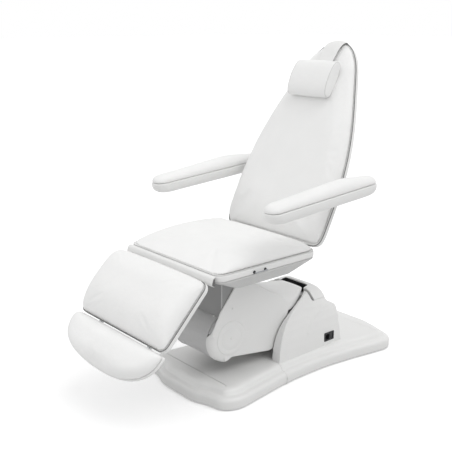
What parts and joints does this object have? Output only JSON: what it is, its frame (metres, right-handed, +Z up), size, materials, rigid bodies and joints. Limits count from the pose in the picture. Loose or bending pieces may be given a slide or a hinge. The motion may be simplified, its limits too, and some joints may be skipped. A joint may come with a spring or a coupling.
{
  "type": "electric examination table",
  "caption": "White padded examination and treatment table with a reclining back, arm rests, a head pillow and a leg rest with sliding foot section, on a lift arm rising from a moulded base.",
  "frame": {"origin": "on the floor at the middle of the base, on the underside of the steel floor plate", "axes": "+Z up, -Y towards the feet of a person on the table, +X towards the sitter's left"},
  "size_m": [0.816, 1.5199, 1.4432],
  "materials": {
    "upholstery": "satin",
    "white_plastic": "gloss",
    "frame_steel": "satin",
    "bright_steel": "satin",
    "chrome": "polished",
    "black_plastic": "satin"
  },
  "bodies": {
    "base": {"floor_plate": "frame_steel", "mast_left": "frame_steel", "mast_right": "frame_steel", "mast_shaft_upper": "bright_steel", "mast_shaft_lower": "bright_steel", "motor_shaft": "bright_steel", "base_cover_front": "white_plastic", "base_cover_rear": "white_plastic", "tower_side_left": "white_plastic", "tower_side_right": "white_plastic", "tower_back": "white_plastic", "mains_inlet": "black_plastic", "control_box": "black_plastic"},
    "inlet_switch": {"inlet_rocker": "black_plastic"},
    "lift_arm": {"lift_bars": "frame_steel", "arm_cover_left": "white_plastic", "arm_cover_right": "white_plastic", "arm_hood": "white_plastic", "arm_belly": "white_plastic", "hub_shaft": "bright_steel", "hub_caps": "white_plastic"},
    "link": {"parallel_link": "frame_steel"},
    "lift_motor": {"lift_motor": "black_plastic"},
    "lift_rod": {"lift_rod": "bright_steel"},
    "seat": {"carrier_column": "frame_steel", "carrier_shroud": "white_plastic", "carrier_shaft": "bright_steel", "seat_frame": "frame_steel", "seat_pan": "white_plastic", "seat_board": "white_plastic", "seat_cushion": "upholstery", "seat_flap": "upholstery", "control_bail": "chrome"},
    "backrest": {"back_bar_left": "frame_steel", "back_bar_right": "frame_steel", "rest_axle": "bright_steel", "back_board": "white_plastic", "back_cushion": "upholstery", "pillow": "upholstery", "pillow_strap": "upholstery"},
    "arm_rest_left": {"rest_shell_left": "white_plastic", "rest_pad_left": "upholstery"},
    "arm_rest_right": {"rest_shell_right": "white_plastic", "rest_pad_right": "upholstery"},
    "leg_rest": {"leg_guide_left": "frame_steel", "leg_guide_right": "frame_steel", "leg_board": "white_plastic", "leg_cushion": "upholstery"},
    "foot_section": {"foot_rod_left": "bright_steel", "foot_rod_right": "bright_steel", "foot_board": "white_plastic", "foot_cushion": "upholstery"}
  },
  "joints": [
    {"name": "lift", "type": "hinge", "parent": "base", "child": "lift_arm", "pos_m": [0, 0.134, 0.29], "axis": [-1, 0, 0], "range_deg": [0, 36]},
    {"name": "seat_level", "type": "hinge", "parent": "lift_arm", "child": "seat", "pos_m": [0, -0.383, 0.247], "axis": [-1, 0, 0], "range_deg": [-36.5, 0.5]},
    {"name": "link_turn", "type": "hinge", "parent": "base", "child": "link", "pos_m": [-0.032, 0.134, 0.21], "axis": [-1, 0, 0], "range_deg": [-0.5, 36.5]},
    {"name": "motor_turn", "type": "hinge", "parent": "base", "child": "lift_motor", "pos_m": [0.02, 0.098, 0.114], "axis": [-1, 0, 0], "range_deg": [-0.5, 28.5]},
    {"name": "rod_slide", "type": "slide", "parent": "lift_motor", "child": "lift_rod", "axis": [0, -0.877, 0.4804], "range_m": [-0.001, 0.0995]},
    {"name": "recline", "type": "hinge", "parent": "seat", "child": "backrest", "pos_m": [0, -0.024, 0.5876], "axis": [-1, 0, 0], "range_deg": [0, 63]},
    {"name": "leg_tilt", "type": "hinge", "parent": "seat", "child": "leg_rest", "pos_m": [0, -0.595, 0.562], "axis": [-1, 0, 0], "range_deg": [-14, 46]},
    {"name": "foot_slide", "type": "slide", "parent": "leg_rest", "child": "foot_section", "axis": [0, -0.6947, -0.7193], "range_m": [0, 0.14]},
    {"name": "arm_rest_left_swing", "type": "hinge", "parent": "backrest", "child": "arm_rest_left", "pos_m": [0.339, 0.13711, 0.83772], "axis": [-1, 0, 0], "range_deg": [-63, 90]},
    {"name": "arm_rest_right_swing", "type": "hinge", "parent": "backrest", "child": "arm_rest_right", "pos_m": [-0.339, 0.13711, 0.83772], "axis": [-1, 0, 0], "range_deg": [-63, 90]},
    {"name": "mains_switch", "type": "hinge", "parent": "base", "child": "inlet_switch", "pos_m": [0.189, 0.1855, 0.118], "axis": [0, 1, 0], "range_deg": [-7, 7]}
  ],
  "couplings": [
    {"joint": "seat_level", "follows": "lift", "ratio": -1},
    {"joint": "link_turn", "follows": "lift", "ratio": 1},
    {"joint": "motor_turn", "follows": "lift", "ratio": 0.76},
    {"joint": "rod_slide", "follows": "lift", "m_per_rad": 0.1563}
  ]
}
